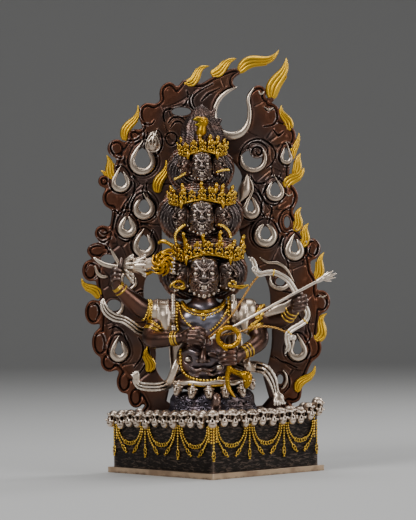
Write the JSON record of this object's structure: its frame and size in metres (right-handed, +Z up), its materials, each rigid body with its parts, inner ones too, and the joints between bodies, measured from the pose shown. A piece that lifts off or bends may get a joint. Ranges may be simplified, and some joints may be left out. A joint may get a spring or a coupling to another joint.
{
  "type": "rahula statue",
  "caption": "Many-headed serpent-tailed deity drawing a bow, on a three-cornered plinth rimmed with skulls, before an open halo of curling flames.",
  "frame": {"origin": "on the underside of the base plate, at the centre of its triangle's inscribed circle, under the figure", "axes": "+Z up, +X to the viewer's right, +Y to the back, so the figure faces -Y"},
  "size_m": [0.224, 0.1067, 0.374],
  "materials": {
    "raw_copper": "dull, lightly scratched",
    "blackened_copper": "black patina with fine chased lines",
    "oxidised_copper": "dark brown patina, burnished on the high lobes",
    "antiqued_copper": "grey-brown patina, polished on the high places",
    "silver_plate": "soft satin, dark in the hollows",
    "fire_gilt_copper": "satin gilding, dark in the hollows"
  },
  "bodies": {
    "root": {"base_plate": "raw_copper", "plinth": "blackened_copper", "flame_aureole": "oxidised_copper", "figure": "antiqued_copper", "skin_shawl": "silver_plate", "makara_banner": "silver_plate", "bow": "silver_plate", "bowstring": "raw_copper", "arrow": "silver_plate", "snake_noose": "fire_gilt_copper"}
  },
  "joints": []
}
